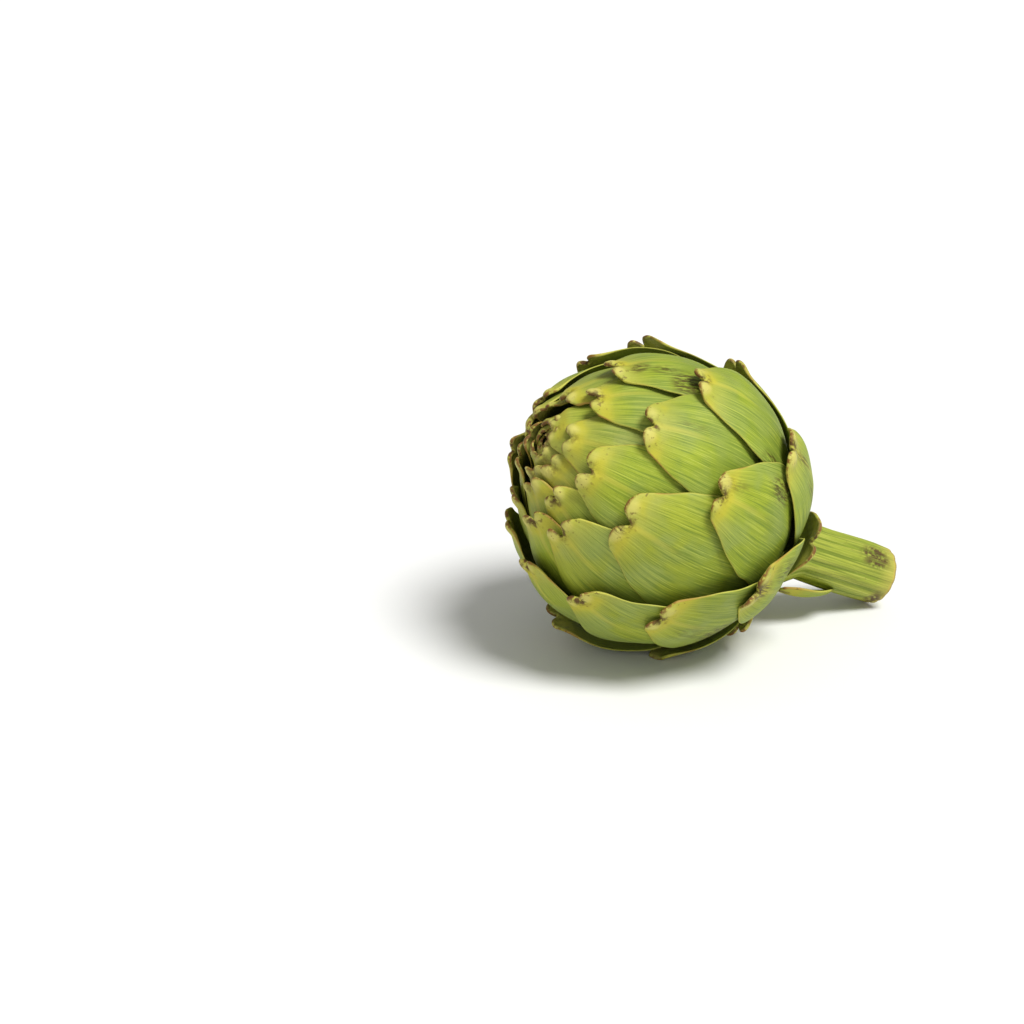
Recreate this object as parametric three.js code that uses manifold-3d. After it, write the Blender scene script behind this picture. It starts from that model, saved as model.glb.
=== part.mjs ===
// A globe artichoke lying on its side: overlapping bracts grown in a spiral round a bud, on a short cut stem.
// Millimetres, +Z up, resting on z = 0, with the origin mid-footprint and the stem towards +X.
import * as THREE from 'three';
import { mergeVertices } from 'three/addons/utils/BufferGeometryUtils.js';
import Module from 'manifold-3d';

const wasm = await Module();
wasm.setup();

const degrees = THREE.MathUtils.degToRad;

// Head: a near sphere, fuller at its top and underside; the bud's tip points up and away from the stem.
const HEAD_RADIUS = 50.9;
const FULLNESS = 2.2;
const HEAD_CENTRE = new THREE.Vector3(-18.4, -0.3, 51.6);
const HEAD_PITCH = degrees(31.8);
const HEAD_YAW = degrees(1.7);

// Bracts, counted from the bud outwards. Polar angles are from the bud's tip, azimuths from the head's top.
const INNERMOST = -16;
const FIRST_FREE = 9;
const OUTERMOST = 41;
const SPIRAL_START = degrees(47.7);
const DIVERGENCE = degrees(137.8);
const CLIMB_START = -2.236;
const CLIMB_STEP = 0.0754;
const CLIMB_GAIN = 0.0044;
const CLIMB_GAIN_FROM = 30;

// Layers: each bract lies this much further out than the one grown before it.
const LAYER = 0.5;
const BRACT_THICKNESS = 1;
const EDGE_THICKNESS = 0.7;
const TIP_FLARE = 1.2;
const TIP_FLARE_LENGTH = 9;
const STAND_OFF_LENGTH = 20;
const BELLY = 1;
const BELLY_LENGTH = 50;

// Outline of a bract: a blunt tip with two lobes that widens to a broad shield.
const TIP_HALF_WIDTH = 3.4;
const WIDENING = 0.85;
const WIDENING_LENGTH = 42;
const FREE_HALF_AZIMUTH = degrees(35);
const BUD_HALF_AZIMUTH = degrees(38);
const FIRST_ROW = 3.4;
const ROW_SPACING = 8.5;
const FREE_COLUMNS = [-1, -0.62, -0.3, 0, 0.3, 0.62, 1];
const FREE_LOBES = [2, 0.1, 0.3, 1.8, 0.3, 0.1, 2];
const BUD_COLUMNS = [-1, -0.5, 0, 0.5, 1];
const BUD_LOBES = [1.3, 0, 1.1, 0, 1.3];

// Bracts that grew well off the spiral, to the nearest millimetre: down towards the stem and round the head.
const OFF_SPIRAL = {
  3: [-4, -4], 5: [-4, -2], 7: [2, 5], 8: [-4, -6], 12: [0, 7], 13: [-8, 0], 14: [-4, 0], 15: [3, 9],
  16: [0, -4], 17: [-4, 4], 20: [-5, 12], 21: [-4, 9], 22: [-5, 5], 24: [0, -5], 25: [-7, 11], 26: [-3, -22],
  28: [0, 18], 29: [7, 0], 30: [-6, 3], 31: [0, 8], 32: [5, 3], 33: [6, 11], 35: [-4, 0], 36: [-2, 17],
  37: [8, 8], 38: [5, 2], 40: [-4, 0],
};
// Bracts that stand off the head, with how far their tips do, and those with wider tips than the rest.
const STAND_OFF = { 13: -0.8, 21: -0.4, 26: 2, 28: 0.8, 29: 0.6, 33: 1, 36: 3, 38: -0.2, 40: 1 };
const WIDE_TIP = { 19: 4.6, 22: 6.5, 33: 5 };
// Bracts whose middles bulge more than the rest.
const BULGE = { 32: 1.3 };

// Flank of the receptacle that the bracts end on.
const FLANK_END = degrees(166);
const FLANK_STEP = degrees(0.75);
const FLANK_RINGS = 7;
const GAP = 0.3;
const BASE_GAP = 0.5;

// Bud core under the innermost bracts, and where its flat underside meets the receptacle.
const CORE_DEPTH = 3.5;
const CORE_CLEARANCE = 0.45;
const CORE_RINGS = 14;
const CORE_SIDES = 36;
const CORE_END = degrees(138);
const RECEPTACLE_LAYER = 5.6;

// Cut stem, as points of its centreline from the head's centre.
const STEM_BEND_END = new THREE.Vector3(53.6, 0, -27.6);
const STEM_END = new THREE.Vector3(85, 0, -42.3);
const STEM_RADIUS = 10;
const STEM_RIBS = 14;
const RIB_HEIGHT = 0.35;
const STEM_SIDES = 56;

// Small leaf on the stem's underside: where it springs from along the straight stem, and how it arches back.
const LEAF_ANGLE = degrees(169.7);
const LEAF_ROOT = 16;
const LEAF_LENGTH = 22;
const LEAF_HALF_WIDTH = 5;
const LEAF_THICKNESS = 1.1;
const LEAF_RISE = 4.2;

// ---- frames ----

const budTip = new THREE.Vector3(
  -Math.cos(HEAD_PITCH) * Math.cos(HEAD_YAW),
  Math.cos(HEAD_PITCH) * Math.sin(HEAD_YAW),
  Math.sin(HEAD_PITCH),
);
const headTop = new THREE.Vector3(0, 0, 1).addScaledVector(budTip, -budTip.z).normalize();
const headSide = new THREE.Vector3().crossVectors(budTip, headTop);
const headFrame = new THREE.Matrix4().makeBasis(headTop, headSide, budTip).setPosition(HEAD_CENTRE);
const headFrameInverse = headFrame.clone().invert();

// A repeatable draw between -1 and 1 for a bract and a purpose.
function draw(bract, purpose) {
  const wave = Math.sin(bract * 12.9898 + purpose * 78.233) * 43758.5453;
  return 2 * (wave - Math.floor(wave)) - 1;
}

// ---- the spiral ----

// How far up the spiral a polar angle is: even steps of climb keep every bract the same shape on a sphere.
function climb(polar) {
  return Math.log(Math.tan(polar / 2));
}

function spiralPolar(bract) {
  const late = Math.max(0, bract - CLIMB_GAIN_FROM);
  return 2 * Math.atan(Math.exp(CLIMB_START + CLIMB_STEP * bract + CLIMB_GAIN * late * late));
}

// The bract, as a real number, whose tip reaches a polar angle.
function layerAt(polar) {
  const early = (climb(polar) - CLIMB_START) / CLIMB_STEP;
  if (early <= CLIMB_GAIN_FROM) return early;
  const rest = CLIMB_STEP * (early - CLIMB_GAIN_FROM);
  const root = Math.sqrt(CLIMB_STEP ** 2 + 4 * CLIMB_GAIN * rest);
  return CLIMB_GAIN_FROM + (root - CLIMB_STEP) / (2 * CLIMB_GAIN);
}

// Along the head's sides the layers are spheres; towards its top and underside they stand further out.
function layerRadius(layer, polar, azimuth = Math.PI / 2) {
  const fuller = FULLNESS * (Math.sin(polar) * Math.cos(azimuth)) ** 2;
  return HEAD_RADIUS + fuller - LAYER * (layerAt(polar) - layer);
}

function tipOf(bract) {
  const [down, side] = OFF_SPIRAL[bract] ?? [0, 0];
  const polar = spiralPolar(bract) + down / HEAD_RADIUS;
  const azimuth = SPIRAL_START - DIVERGENCE * bract + side / (HEAD_RADIUS * Math.sin(polar));
  return { polar, azimuth };
}

function flankPolar(layer) {
  return FLANK_END - FLANK_STEP * (OUTERMOST - layer);
}

// Where the flank's layer lies, as a distance from the bud's axis and a height along it.
function flankRing(layer) {
  const polar = flankPolar(layer);
  const radius = layerRadius(layer, polar);
  return { radius: radius * Math.sin(polar), height: radius * Math.cos(polar) };
}

// ---- a bract ----

function halfWidth(bract, polar, down, halfAzimuth) {
  const tip = WIDE_TIP[bract] ?? TIP_HALF_WIDTH * (1 + 0.12 * draw(bract, 1));
  const spread = Math.sin((Math.min(1, down / WIDENING_LENGTH) * Math.PI) / 2);
  const grown = tip + WIDENING * WIDENING_LENGTH * (2 / Math.PI) * spread;
  const room = HEAD_RADIUS * Math.sin(polar) * halfAzimuth;
  return (grown ** -4 + room ** -4) ** -0.25;
}

function flare(bract, down, across) {
  const curl = Math.max(0, 1 - down / TIP_FLARE_LENGTH) ** 2;
  const lean = Math.max(0, 1 - down / STAND_OFF_LENGTH) ** 2;
  const belly = Math.sin(Math.PI * Math.min(1, down / BELLY_LENGTH));
  const bulge = BELLY + (BULGE[bract] ?? 0) * (1 - across * across);
  return TIP_FLARE * curl + (STAND_OFF[bract] ?? 0) * lean + bulge * belly;
}

// Head coordinates: z along the bud's tip, x to the top of the head, y to its side.
function bractPoint(bract, polar, down, across, depth, halfAzimuth) {
  const width = halfWidth(bract, polar, down, halfAzimuth);
  const azimuth = tipOf(bract).azimuth + (across * width) / (HEAD_RADIUS * Math.sin(polar));
  const radius = layerRadius(bract, polar, azimuth) + flare(bract, down, across) - depth;
  const ring = radius * Math.sin(polar);
  return new THREE.Vector3(ring * Math.cos(azimuth), ring * Math.sin(azimuth), radius * Math.cos(polar));
}

// Weight presses what would reach below the surface flat against it; the blade keeps most of its thickness.
function pressFlat(outer, inner) {
  outer.applyMatrix4(headFrame);
  inner.applyMatrix4(headFrame);
  const lift = Math.max(0, -outer.z);
  outer.z += lift;
  inner.z += Math.max(0, lift - (BRACT_THICKNESS - EDGE_THICKNESS));
  outer.applyMatrix4(headFrameInverse);
  inner.applyMatrix4(headFrameInverse);
}

// Closed blade between two grids of points; going down the rows and then across must turn outwards.
function bladeGeometry(outer, inner) {
  const rows = outer.length;
  const columns = outer[0].length;
  const positions = [...outer.flat(), ...inner.flat()].flatMap((point) => point.toArray());
  const out = (row, column) => row * columns + column;
  const into = (row, column) => rows * columns + out(row, column);
  const index = [];
  const quad = (a, b, c, d) => index.push(a, b, c, a, c, d);
  for (let row = 0; row < rows - 1; row += 1) {
    for (let column = 0; column < columns - 1; column += 1) {
      const next = { row: row + 1, column: column + 1 };
      quad(out(row, column), out(next.row, column), out(next.row, next.column), out(row, next.column));
      const [a, b] = [into(row, column), into(next.row, column)];
      const [c, d] = [into(next.row, next.column), into(row, next.column)];
      index.push(a, c, b, a, d, c);
    }
  }
  const last = { row: rows - 1, column: columns - 1 };
  for (let column = 0; column < last.column; column += 1) {
    const next = column + 1;
    quad(out(0, column), out(0, next), into(0, next), into(0, column));
    quad(out(last.row, column), into(last.row, column), into(last.row, next), out(last.row, next));
  }
  for (let row = 0; row < last.row; row += 1) {
    const next = row + 1;
    quad(out(row, 0), into(row, 0), into(next, 0), out(next, 0));
    quad(out(row, last.column), out(next, last.column), into(next, last.column), into(row, last.column));
  }
  const geometry = new THREE.BufferGeometry();
  geometry.setAttribute('position', new THREE.Float32BufferAttribute(positions, 3));
  geometry.setIndex(index);
  return geometry;
}

// A free bract runs from its two-lobed tip to the receptacle's flank.
function freeBract(bract) {
  const tip = tipOf(bract);
  const base = flankPolar(bract) - BASE_GAP / HEAD_RADIUS;
  const length = (base - tip.polar) * HEAD_RADIUS;
  const spans = Math.max(2, Math.round((length - FIRST_ROW) / ROW_SPACING));
  const outer = [];
  const inner = [];
  for (let row = 0; row <= spans + 1; row += 1) {
    const outerRow = [];
    const innerRow = [];
    FREE_COLUMNS.forEach((across, column) => {
      const atTip = row === 0;
      const down = atTip ? FREE_LOBES[column] : FIRST_ROW + ((length - FIRST_ROW) * (row - 1)) / spans;
      const polar = tip.polar + down / HEAD_RADIUS;
      const thickness = EDGE_THICKNESS + (BRACT_THICKNESS - EDGE_THICKNESS) * (1 - across * across);
      const lastRow = row === spans + 1;
      const innerPolar = lastRow ? polar - (FLANK_STEP * thickness) / LAYER : polar;
      const outerPoint = bractPoint(bract, polar, down, across, 0, FREE_HALF_AZIMUTH);
      const innerPoint = bractPoint(bract, innerPolar, down, across, thickness, FREE_HALF_AZIMUTH);
      pressFlat(outerPoint, innerPoint);
      outerRow.push(outerPoint);
      innerRow.push(innerPoint);
    });
    outer.push(outerRow);
    inner.push(innerRow);
  }
  return bladeGeometry(outer, inner);
}

// ---- the bud: short inner bracts that stand out of one core ----

function budBract(bract) {
  const tip = tipOf(bract);
  const length = 1.5 * (spiralPolar(bract + 8) - spiralPolar(bract)) * HEAD_RADIUS + 3;
  const size = Math.min(1, Math.sin(tip.polar) * 3.2);
  const rows = [0, 0.22, 0.55, 1];
  const grid = (side) => rows.map((fraction, row) => BUD_COLUMNS.map((across, column) => {
    const down = row === 0 ? BUD_LOBES[column] * size : Math.max(FIRST_ROW * size, fraction * length);
    const thickness = EDGE_THICKNESS + 0.5 * down;
    const polar = tip.polar + down / HEAD_RADIUS;
    return bractPoint(bract, polar, down, across, side * thickness, BUD_HALF_AZIMUTH);
  }));
  return bladeGeometry(grid(0), grid(1));
}

// The core stays under the first free bract's inner face and stops just above the receptacle.
function coreProfile() {
  const floor = flankRing(RECEPTACLE_LAYER).height + GAP;
  const points = [new THREE.Vector2(0, HEAD_RADIUS - CORE_DEPTH)];
  for (let ring = 1; ring <= CORE_RINGS; ring += 1) {
    const polar = (CORE_END * ring) / CORE_RINGS;
    const underBracts = LAYER * (layerAt(polar) - FIRST_FREE) + BRACT_THICKNESS + CORE_CLEARANCE;
    const radius = HEAD_RADIUS - Math.max(CORE_DEPTH, underBracts);
    const height = ring === CORE_RINGS ? floor : radius * Math.cos(polar);
    points.push(new THREE.Vector2(radius * Math.sin(polar), height));
  }
  points.push(new THREE.Vector2(0, floor));
  return points.reverse();
}

function toSolid(geometry) {
  const bare = geometry.clone();
  bare.deleteAttribute('normal');
  bare.deleteAttribute('uv');
  const merged = mergeVertices(bare, 1e-4);
  const mesh = new wasm.Mesh({
    numProp: 3,
    vertProperties: new Float32Array(merged.attributes.position.array),
    triVerts: new Uint32Array(merged.index.array),
  });
  return new wasm.Manifold(mesh);
}

function fuse(geometries) {
  const mesh = geometries.map(toSolid).reduce((whole, solid) => whole.add(solid)).getMesh();
  const geometry = new THREE.BufferGeometry();
  geometry.setAttribute('position', new THREE.Float32BufferAttribute(mesh.vertProperties, 3));
  geometry.setIndex(Array.from(mesh.triVerts));
  return geometry;
}

function innerBud() {
  const core = new THREE.LatheGeometry(coreProfile(), CORE_SIDES);
  core.rotateX(Math.PI / 2);
  const solids = [core];
  for (let bract = INNERMOST; bract < FIRST_FREE; bract += 1) solids.push(budBract(bract));
  return fuse(solids);
}

// ---- the stem, from the receptacle's top to the cut ----

function stemRings() {
  const away = budTip.clone().negate();
  const rings = [];
  for (let ring = 0; ring <= FLANK_RINGS; ring += 1) {
    const layer = THREE.MathUtils.lerp(RECEPTACLE_LAYER, OUTERMOST, ring / FLANK_RINGS);
    const { radius, height } = flankRing(layer);
    rings.push({ centre: away.clone().multiplyScalar(-height), axis: away, radius, ribs: 0 });
  }
  const neck = rings.at(-1);
  const straight = STEM_END.clone().sub(STEM_BEND_END).normalize();
  const bend = new THREE.CubicBezierCurve3(
    neck.centre,
    neck.centre.clone().addScaledVector(away, 3),
    STEM_BEND_END.clone().addScaledVector(straight, -6),
    STEM_BEND_END,
  );
  for (const part of [0.35, 0.7, 1]) {
    const radius = THREE.MathUtils.lerp(neck.radius, STEM_RADIUS, part);
    rings.push({ centre: bend.getPoint(part), axis: bend.getTangent(part), radius, ribs: part });
  }
  for (const part of [0.34, 0.67, 1]) {
    const centre = STEM_BEND_END.clone().lerp(STEM_END, part);
    rings.push({ centre, axis: straight, radius: STEM_RADIUS, ribs: 1 });
  }
  return rings;
}

function aroundStem(centre, axis, angle, radius) {
  const top = new THREE.Vector3(0, 0, 1).addScaledVector(axis, -axis.z).normalize();
  const side = new THREE.Vector3().crossVectors(axis, top);
  const out = top.multiplyScalar(Math.cos(angle)).addScaledVector(side, Math.sin(angle));
  return centre.clone().addScaledVector(out, radius).add(HEAD_CENTRE);
}

function stemBody() {
  const rings = stemRings();
  const positions = [];
  for (const { centre, axis, radius, ribs } of rings) {
    for (let side = 0; side < STEM_SIDES; side += 1) {
      const angle = (2 * Math.PI * side) / STEM_SIDES;
      const ribbed = radius + ribs * RIB_HEIGHT * Math.cos(STEM_RIBS * angle);
      const point = aroundStem(centre, axis, angle, ribbed);
      point.z = Math.max(0, point.z);
      positions.push(...point.toArray());
    }
  }
  const start = positions.length / 3;
  positions.push(...rings[0].centre.clone().add(HEAD_CENTRE).toArray());
  positions.push(...rings.at(-1).centre.clone().add(HEAD_CENTRE).toArray());
  const index = [];
  for (let side = 0; side < STEM_SIDES; side += 1) {
    const next = (side + 1) % STEM_SIDES;
    for (let ring = 0; ring < rings.length - 1; ring += 1) {
      const [a, b] = [ring * STEM_SIDES + side, ring * STEM_SIDES + next];
      const [c, d] = [a + STEM_SIDES, b + STEM_SIDES];
      index.push(a, b, d, a, d, c);
    }
    const end = (rings.length - 1) * STEM_SIDES;
    index.push(start, next, side, start + 1, end + side, end + next);
  }
  const geometry = new THREE.BufferGeometry();
  geometry.setAttribute('position', new THREE.Float32BufferAttribute(positions, 3));
  geometry.setIndex(index);
  return geometry;
}

// The leaf springs from the stem's underside and arches back under the head.
function stemLeaf() {
  const axis = STEM_END.clone().sub(STEM_BEND_END).normalize();
  const root = STEM_BEND_END.clone().addScaledVector(axis, LEAF_ROOT);
  const rows = [0, 0.15, 0.4, 0.68, 0.9, 1];
  const across = [1, 0.55, 0, -0.55, -1];
  const clear = STEM_RADIUS + RIB_HEIGHT + GAP;
  const grid = (thickness) => rows.map((fraction) => across.map((side) => {
    const along = LEAF_LENGTH * (1 - fraction);
    const width = LEAF_HALF_WIDTH * Math.sin(Math.PI * (0.14 + 0.66 * (1 - fraction) ** 0.8));
    const rise = LEAF_RISE * Math.sin(Math.min(1, along / (0.7 * LEAF_LENGTH)) * (Math.PI / 2));
    const centre = root.clone().addScaledVector(axis, -along);
    const angle = LEAF_ANGLE + (side * width) / (clear + rise);
    return aroundStem(centre, axis, angle, clear + rise + thickness * (1 - 0.3 * side * side));
  }));
  return bladeGeometry(grid(LEAF_THICKNESS), grid(0));
}

// ---- assembly ----

const paint = (color, roughness) => new THREE.MeshStandardMaterial({ color, roughness, metalness: 0 });
const group = new THREE.Group();
const head = new THREE.Group();
headFrame.decompose(head.position, head.quaternion, head.scale);
group.add(head);

const bud = new THREE.Mesh(innerBud(), paint('#8fa255', 0.6));
bud.name = 'inner_bud';
head.add(bud);
for (let bract = FIRST_FREE; bract <= OUTERMOST; bract += 1) {
  const mesh = new THREE.Mesh(freeBract(bract), paint('#8ea54c', 0.55));
  mesh.name = `bract_${String(bract).padStart(2, '0')}`;
  head.add(mesh);
}
const stem = new THREE.Mesh(stemBody(), paint('#a3ac58', 0.6));
stem.name = 'stem';
group.add(stem);
const leaf = new THREE.Mesh(stemLeaf(), paint('#8ea54c', 0.55));
leaf.name = 'stem_leaf';
group.add(leaf);

export default group;
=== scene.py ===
"""A globe artichoke lying on its side: notched bracts in a spiral round a closed bud, on a ribbed cut stem.

The head is worked out in its own millimetres: z along the bud's tip, x to the head's top and y to its side,
with polar angles from the tip and azimuths from the top. The stem is worked out along the frame's axes from
the head's centre. Every piece then becomes a mesh in the frame's metres.
"""

import math

import bpy
import numpy as np
from mathutils import Matrix, Vector


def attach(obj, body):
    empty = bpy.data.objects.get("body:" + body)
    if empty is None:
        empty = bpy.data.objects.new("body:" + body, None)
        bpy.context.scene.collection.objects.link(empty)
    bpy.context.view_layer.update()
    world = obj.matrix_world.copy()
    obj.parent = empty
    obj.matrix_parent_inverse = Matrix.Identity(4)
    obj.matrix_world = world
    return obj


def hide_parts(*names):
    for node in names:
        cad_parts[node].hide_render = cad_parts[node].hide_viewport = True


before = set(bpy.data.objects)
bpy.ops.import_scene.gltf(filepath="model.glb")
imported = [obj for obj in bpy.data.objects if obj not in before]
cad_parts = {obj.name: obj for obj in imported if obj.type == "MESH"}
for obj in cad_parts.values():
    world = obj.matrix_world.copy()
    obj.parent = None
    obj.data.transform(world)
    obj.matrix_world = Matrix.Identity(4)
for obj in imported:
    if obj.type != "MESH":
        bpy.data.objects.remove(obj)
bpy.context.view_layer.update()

MM = 0.001
degrees = math.radians

# ---- the head, on the solid model's formulas ----

HEAD_RADIUS = 50.9
FULLNESS_TOP = 0.9
FULLNESS_UNDER = 2.2
HEAD_CENTRE = np.array([-18.4, -0.3, 51.6])
HEAD_PITCH = degrees(31.8)
HEAD_YAW = degrees(1.7)
INNERMOST = -12
FIRST_FREE = 9
OUTERMOST = 41
SPIRAL_START = degrees(47.7)
DIVERGENCE = degrees(137.8)
CLIMB_START = -2.236
CLIMB_STEP = 0.0754
CLIMB_GAIN = 0.0044
CLIMB_GAIN_FROM = 30
LAYER = 0.5
FLANK_END = degrees(166)
FLANK_STEP = degrees(0.75)
RECEPTACLE_LAYER = 5.6

# Bracts that grew well off the spiral: millimetres down towards the stem and round the head.
OFF_SPIRAL = {
    -1: (0, 4), 1: (0, -4), 3: (-7, -5), 4: (0, -2), 5: (-4, -1), 6: (-2, -2), 7: (4, 1), 8: (-4, -6),
    9: (2, -4), 10: (-1, 3), 11: (-1, 0), 12: (0, 7), 13: (-6, 3), 14: (-3, -2), 15: (2, 11), 16: (-2, -5),
    17: (-4, 4), 19: (-1, -1), 20: (-5, 15), 21: (-3, 12), 22: (-6, 4), 24: (-1, -6), 25: (-8, 13),
    26: (-1, -20), 27: (-1, 1), 28: (0, 18), 29: (9, 2), 30: (-6, 3), 31: (0, 4), 32: (3, 1), 33: (6, 9),
    35: (-6, -2), 36: (-2, 17), 37: (8, 8), 38: (5, 2), 40: (-4, 0),
}
# Millimetres that some tips stand off the head, or lie closer to it than the rest.
STAND_OFF = {13: -2.2, 15: -1.6, 20: -0.6, 21: 0.4, 26: 4.0, 28: 0.8, 29: 0.6, 33: 1, 36: 3, 38: -0.2, 40: 1}
# Bracts with a bulging middle, with a tip that hardly curls, and with a tip of their own half width.
BULGE = {32: 1.3}
TIGHT_TIPS = {2, 5, 8, 10, 13, 18, 21, 23}
WIDE_TIP = {14: 5.8, 19: 6, 20: 3.8, 21: 3.4, 22: 7.6, 25: 4.6, 33: 6}
# Millimetres that a margin has sprung off the bract under it, positive on the side of growing azimuth.
SPRUNG_MARGIN = {
    7: 1, 12: 1.2, 15: 1.5, 17: 1.5, 20: 3.2, 21: -1.5, 23: 2, 25: 2.2, 28: 2.5, 30: 1.5, 33: 1.5, 35: 1.2,
}

# ---- a bract, in millimetres ----

THICKNESS_MIDDLE = 1.0
THICKNESS_EDGE = 0.7
THICKNESS_MARGIN = 0.4
THINNING_WIDTH = 4
MARGIN_TUCK = 0.3
TUCK_WIDTH = 3
MARGIN_ROUND = 0.5
TIP_ROUND = 0.9
ROOT_ROUND = 0.8
TIP_FLARE = 1.2
TIGHT_FLARE = 0.1
TIP_FLARE_LENGTH = 9
STAND_OFF_LENGTH = 20
BELLY = 1.0
BELLY_LENGTH = 50
SPRING_ABOVE = 6
SPRING_LENGTH = 45
TIP_RAISE = 2.2
ROOT_INTO_RECEPTACLE = 1.2

# The outline: half widths at the tip, by bract, and how they widen; the last is how sharply the room cuts in.
TIP_HALF_WIDTH = 3.2
TIP_WIDENS = 0.09
TIP_VARIES = 0.08
YOUNG_TIP = 4.2
WIDENING = 0.77
WIDENING_LENGTH = 42
FREE_HALF_AZIMUTH = degrees(35)
BUD_HALF_AZIMUTH = degrees(56)
ROOM_POWER = 4.0

# The tip's edge: the notch between its two lobes, its two corners, and how unlevel the lobes are.
NOTCH_DEPTH = 3.4
NOTCH_VARIES = 0.3
NOTCH_LEAN = 0.12
NOTCH_POWER = 2.2
YOUNG_NOTCH = 0.3
NOTCH_GROWS = 0.05
CORNER_DEPTH = 2.2
CORNER_POWER = 3
TIP_TILT = 0.9

# Relief: the lobes, as parts of the tip's half width and millimetres down, and what lies between them.
LOBE_SWELL = 1.5
LOBE_FLESH = 0.7
LOBE_FLESH_LENGTH = 4.5
LOBES_DIFFER = 0.3
LOBE_PLACE = 0.55
LOBE_WIDTH = 0.45
LOBE_DOWN = 2.6
LOBE_LENGTH = 3.2
PUFF = 0.9
PUFF_DOWN = 11
NOTCH_CREASE = 0.9
CREASE_WIDTH = 1.0
CREASE_LENGTH = 7
MIDRIB_HEIGHT = 0.3
MIDRIB_WIDTH = 1.3
MIDRIB_DRIFT = 0.03
MIDRIB_START = 4
MIDRIB_RISE = 5
MIDRIB_LENGTH = 30
KEEL_SLOPE = 0.05
KEEL_LENGTH = 22
WAVE_HEIGHT = 0.2
WAVE_START = 6

# The fibre map's unit is 100 mm. The fan is how much the fibres spread with the bract's width, and they are
# spaced truly at the half width below. Each bract starts at a place of its own on the map.
MAP_UNIT = 100
FIBRE_FAN = 0.45
FIBRE_HALF_WIDTH = 24
MAP_START_ACROSS = 0.05
MAP_START_DOWN = 0.13

# ---- the bud ----

BUD_SINK = 0.25
BUD_SHORTEST = 20
BUD_LENGTHENS = 3.4
BUD_LENGTH = 82
BUD_SMALLEST = 0.2
BUD_GROWS = 3.2
CORE_DEPTH = 6
CORE_TIP = 0.003
CORE_END = degrees(138)

# ---- the stem and its leaf ----

STEM_BEND_END = np.array([53.6, 0, -27.6])
STEM_END = np.array([85, 0, -42.3])
STEM_RADIUS = 10.0
NECK_PULL = 3
BEND_PULL = 6
STEM_RIBS = 14
RIB_HEIGHT = 0.3
RIB_VARIES = 0.35
RIB_POWER = 0.6
FINE_RIB_HEIGHT = 0.072
RIBS_LEVEL_OFF = 12
# Past the cut the rings shrink to these parts of the stem's radius, this far past the stem's end.
CUT_REACH = np.array([0.995, 0.98, 0.95, 0.88, 0.7, 0.45, 0.2, 0.02])
CUT_RISE = np.array([-0.15, 0.1, 0.22, 0.0, -0.05, -0.08, -0.1, -0.1])
CUT_FACE = np.array([0.0, 0.5, 1, 1, 1, 1, 1, 1])
LEAF_ANGLE = degrees(158)
LEAF_ROOT = 16
LEAF_LENGTH = 22
LEAF_HALF_WIDTH = 7
LEAF_THICKNESS = 1.1
LEAF_THINNING = 0.3
LEAF_ROUND = 0.6
LEAF_MARGIN_ROUND = 0.4
LEAF_RISE = 4.2
LEAF_RISEN_AT = 0.7
LEAF_RIPPLE = 0.25
LEAF_ROOT_DIP = 0.8
LEAF_TONE = 0.4
LEAF_MAP_HALF_WIDTH = 0.05
GAP = 0.3

# ---- grids: rows and columns ----

BRACT_GRID = (80, 49)
BUD_GRID = (64, 31)
CORE_GRID = (60, 120)
LEAF_GRID = (60, 33)
ROWS_CROWD_TIP = 1.5
COLUMNS_CROWD_MARGINS = 0.45
FLANK_RINGS = 40
BEND_RINGS = 26
STRAIGHT_RINGS = 60
STEM_SIDES = 280

DRAW_SEED = 1000
DRAW_COUNT = 12


def unit(vector):
    """The vector over its own length."""
    return vector / np.linalg.norm(vector)


BUD_TIP = np.array([
    -math.cos(HEAD_PITCH) * math.cos(HEAD_YAW),
    math.cos(HEAD_PITCH) * math.sin(HEAD_YAW),
    math.sin(HEAD_PITCH),
])
HEAD_TOP = unit(np.array([0, 0, 1]) - BUD_TIP[2] * BUD_TIP)
HEAD_SIDE = np.cross(BUD_TIP, HEAD_TOP)
HEAD_AXES = np.array([HEAD_TOP, HEAD_SIDE, BUD_TIP])


def head_points(radius, polar, azimuth):
    """The frame's millimetres from the head's radius, polar angle and azimuth: the centre plus the radius
    times the polar angle's cosine along the bud's tip and its sine round it."""
    ring = radius * np.sin(polar)
    around = np.broadcast_arrays(ring * np.cos(azimuth), ring * np.sin(azimuth), radius * np.cos(polar))
    return HEAD_CENTRE + np.stack(around, axis=-1) @ HEAD_AXES


def bract_draws(bract):
    """The bract's own repeatable draws between -1 and 1."""
    return np.random.default_rng(DRAW_SEED + bract).uniform(-1, 1, DRAW_COUNT)


def bell(distance, width):
    """One at the middle, falling off as the exponential of minus the square of distance over width."""
    return np.exp(-(distance / width) ** 2)


def rounded(distance, radius):
    """A quarter circle: nought at the border, one at a radius or more inside it."""
    return np.sqrt(1 - np.clip(1 - distance / radius, 0, 1) ** 2)


# ---- the spiral ----

def climb(polar):
    """The logarithm of the tangent of half the polar angle, which a spiral on a ball climbs evenly."""
    return np.log(np.tan(polar / 2))


def spiral_polar(bract):
    """The tip's polar angle on the spiral: the climb grows evenly and, late on, also by a square. The
    innermost bracts close up evenly to the bud's very tip."""
    late = max(0, bract - CLIMB_GAIN_FROM)
    polar = 2 * math.atan(math.exp(CLIMB_START + CLIMB_STEP * bract + CLIMB_GAIN * late * late))
    return polar * min(1, 1 - bract / (INNERMOST - 2))


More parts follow.
